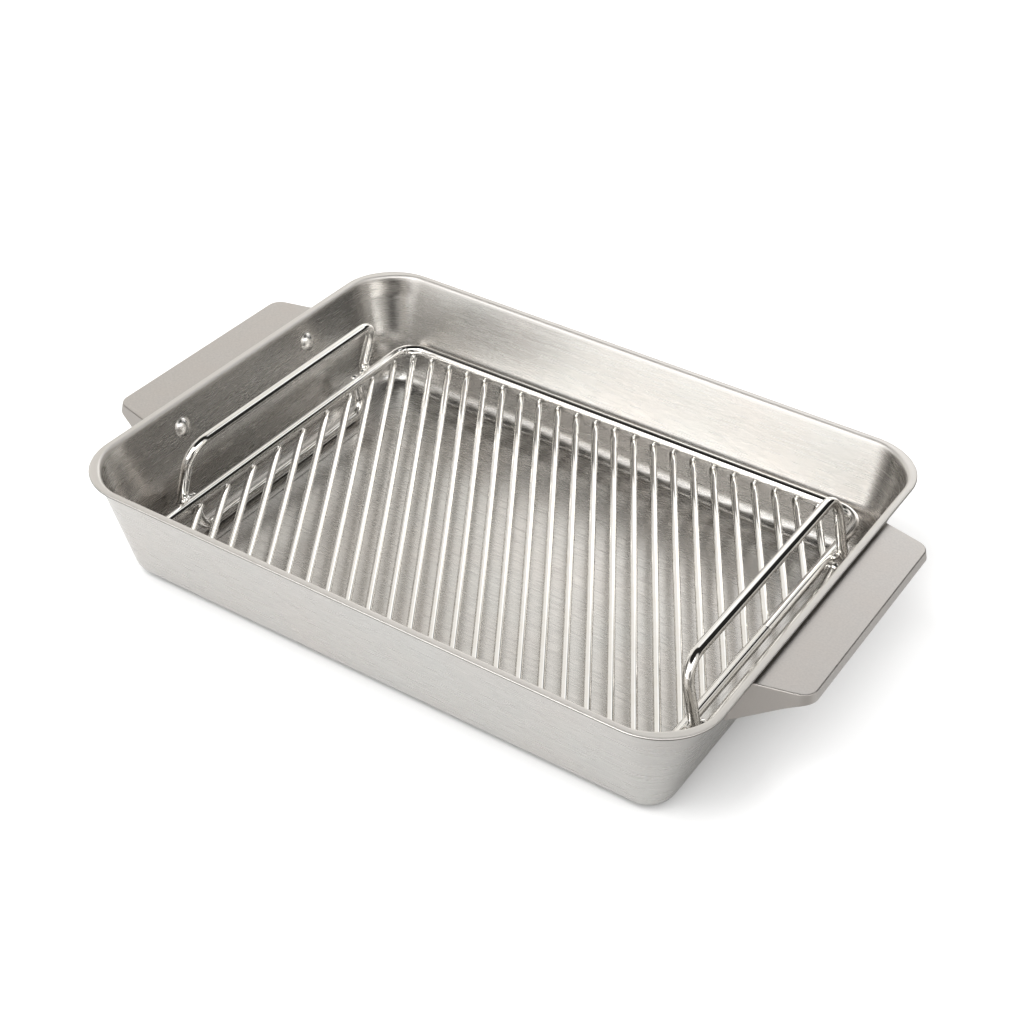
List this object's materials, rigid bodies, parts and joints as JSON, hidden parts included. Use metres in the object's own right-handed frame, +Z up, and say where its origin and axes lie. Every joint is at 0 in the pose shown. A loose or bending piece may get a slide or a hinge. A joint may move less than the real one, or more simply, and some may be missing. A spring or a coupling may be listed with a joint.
{
  "type": "roasting pan with rack",
  "caption": "Rectangular sheet steel roasting pan with riveted end handles, and a wire rack that lifts out by two upright handles.",
  "frame": {"origin": "middle of the whole part's bounding box in plan, at the level of the table", "axes": "+X along the pan's long side toward its right handle, +Y toward the long side that is further from the camera, +Z up"},
  "size_m": [0.458, 0.303, 0.0722],
  "materials": {
    "pan_steel": "satin sheet steel with a fine brushed grain",
    "handle_steel": "cast steel with a satin grain",
    "rivet_steel": "smooth steel",
    "rack_chrome": "bright plated wire"
  },
  "bodies": {
    "pan": {"pan_shell": "pan_steel", "handle_left": "handle_steel", "handle_right": "handle_steel", "rivets_left": "rivet_steel", "rivets_right": "rivet_steel"},
    "rack": {"rack_frame": "rack_chrome", "rack_handle_left": "rack_chrome", "rack_handle_right": "rack_chrome", "rack_foot_left": "rack_chrome", "rack_foot_right": "rack_chrome", "cross_wire_01": "rack_chrome", "cross_wire_02": "rack_chrome", "cross_wire_03": "rack_chrome", "cross_wire_04": "rack_chrome", "cross_wire_05": "rack_chrome", "cross_wire_06": "rack_chrome", "cross_wire_07": "rack_chrome", "cross_wire_08": "rack_chrome", "cross_wire_09": "rack_chrome", "cross_wire_10": "rack_chrome", "cross_wire_11": "rack_chrome", "cross_wire_12": "rack_chrome", "cross_wire_13": "rack_chrome", "cross_wire_14": "rack_chrome", "cross_wire_15": "rack_chrome", "cross_wire_16": "rack_chrome", "cross_wire_17": "rack_chrome", "cross_wire_18": "rack_chrome", "cross_wire_19": "rack_chrome", "cross_wire_20": "rack_chrome", "cross_wire_21": "rack_chrome", "cross_wire_22": "rack_chrome", "cross_wire_23": "rack_chrome", "cross_wire_24": "rack_chrome", "cross_wire_25": "rack_chrome", "cross_wire_26": "rack_chrome", "cross_wire_27": "rack_chrome", "cross_wire_28": "rack_chrome", "cross_wire_29": "rack_chrome", "cross_wire_30": "rack_chrome", "cross_wire_31": "rack_chrome", "cross_wire_32": "rack_chrome", "cross_wire_33": "rack_chrome"}
  },
  "joints": [
    {"name": "rack_lift", "type": "slide", "parent": "pan", "child": "rack", "axis": [0, 0, 1], "range_m": [0, 0.1]}
  ]
}
